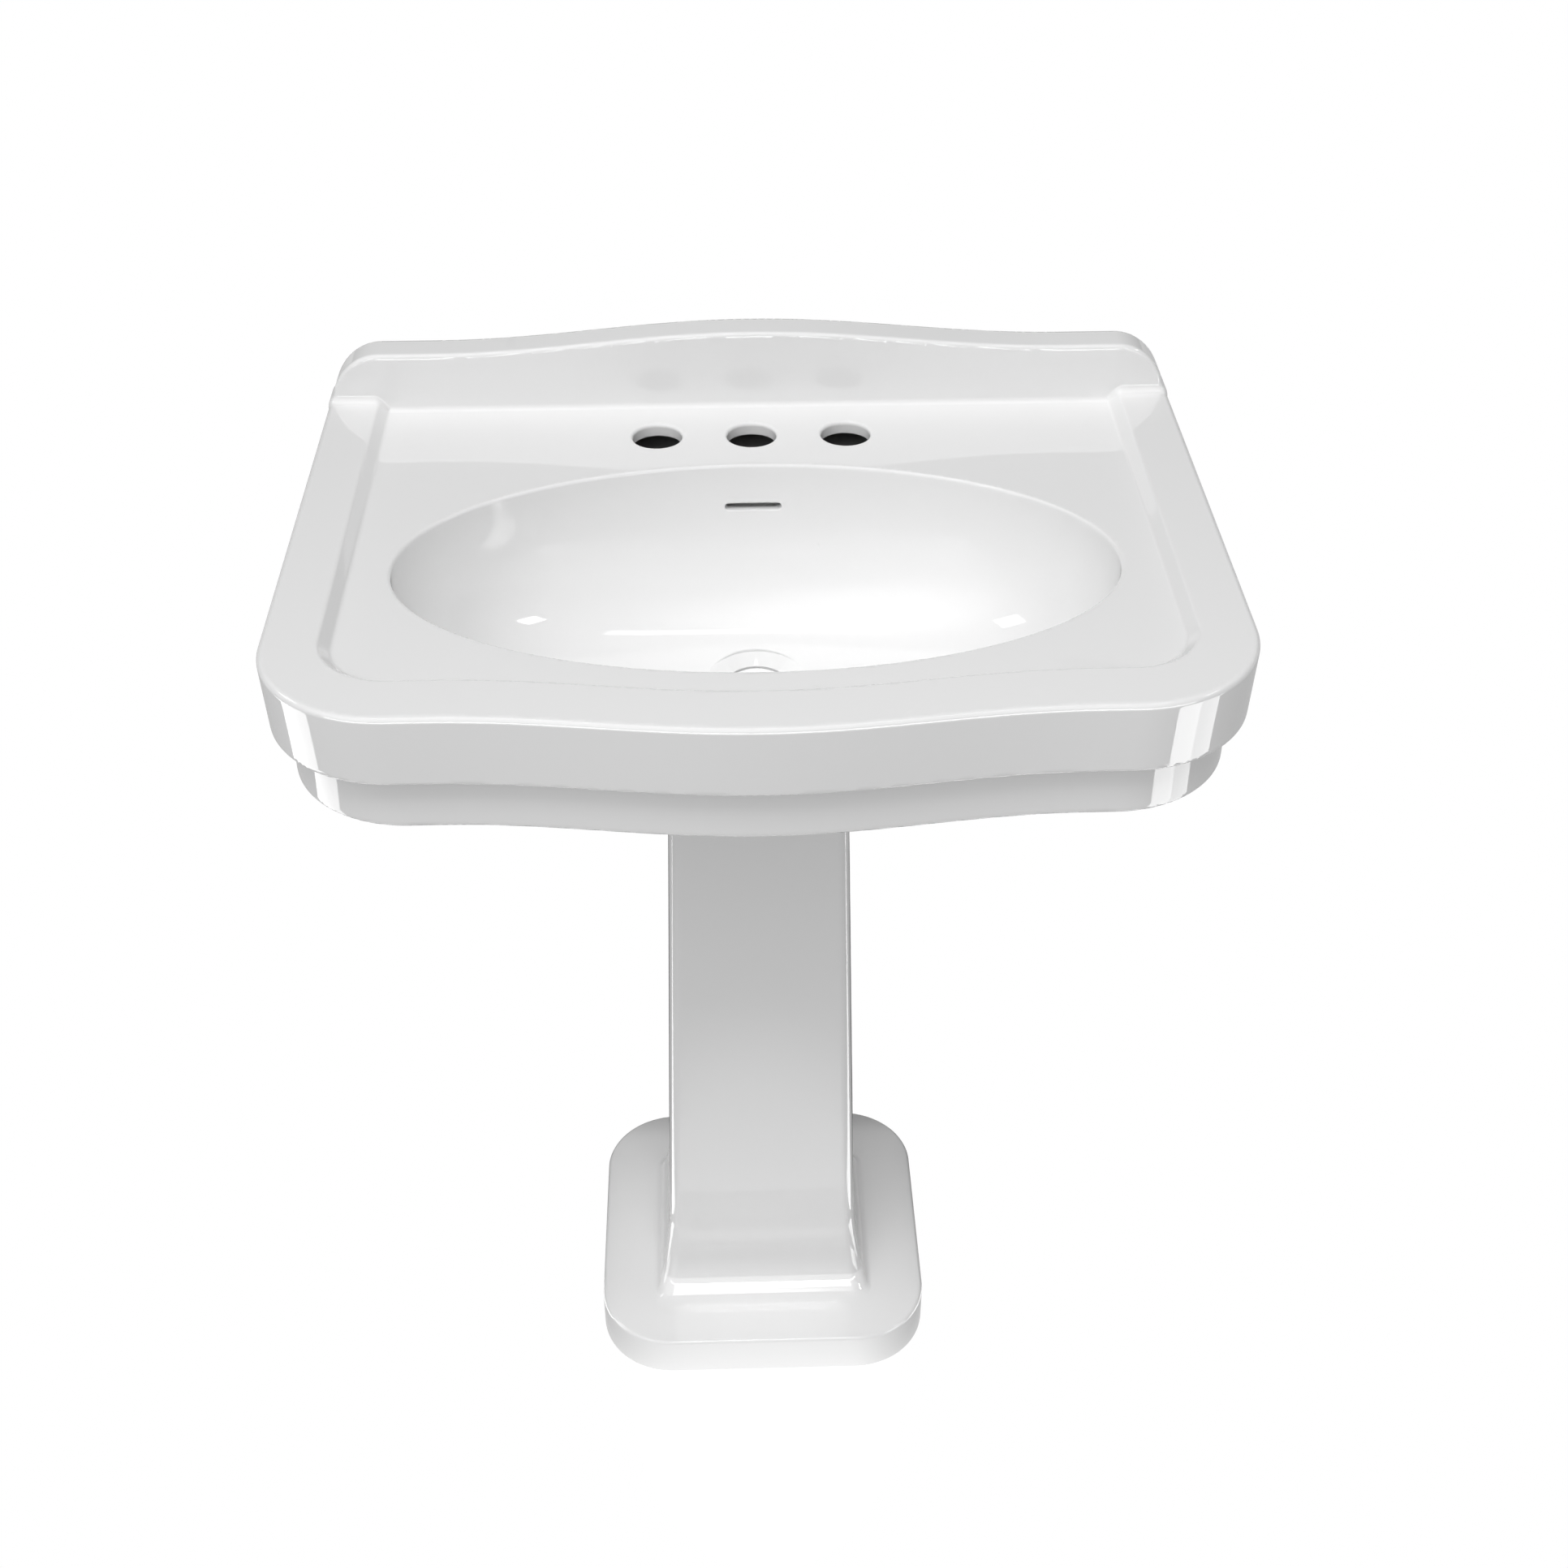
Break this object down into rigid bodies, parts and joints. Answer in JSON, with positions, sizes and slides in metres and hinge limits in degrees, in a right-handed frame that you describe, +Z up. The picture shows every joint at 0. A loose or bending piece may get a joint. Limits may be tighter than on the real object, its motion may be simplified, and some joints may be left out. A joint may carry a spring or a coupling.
{
  "type": "pedestal sink",
  "caption": "Glazed ceramic pedestal sink with a serpentine front, raised back, oval bowl with overflow, and a tapered hollow column on a rounded plinth.",
  "frame": {"origin": "on the floor, under the centre of the overall box", "axes": "+Z up; +Y to the wall that the back stands against, so the front faces -Y; +X to the right of someone facing the sink"},
  "size_m": [0.61, 0.448, 0.805],
  "materials": {
    "glaze": "white high-gloss glaze",
    "zinc_steel": "bright zinc plating",
    "nylon": "natural white nylon",
    "rubber": "matt black rubber"
  },
  "bodies": {
    "root": {"basin": "glaze", "pedestal": "glaze", "hanger_bolt_left": "zinc_steel", "nylon_bush_left": "nylon", "steel_washer_left": "zinc_steel", "hex_nut_left": "zinc_steel", "floor_screw_left": "zinc_steel", "floor_bush_left": "nylon", "floor_washer_left": "zinc_steel", "screw_cap_left": "nylon", "hanger_bolt_right": "zinc_steel", "nylon_bush_right": "nylon", "steel_washer_right": "zinc_steel", "hex_nut_right": "zinc_steel", "floor_screw_right": "zinc_steel", "floor_bush_right": "nylon", "floor_washer_right": "zinc_steel", "screw_cap_right": "nylon", "rubber_pad_front_left": "rubber", "rubber_pad_front_right": "rubber", "rubber_pad_side_left": "rubber", "rubber_pad_side_right": "rubber"}
  },
  "joints": []
}
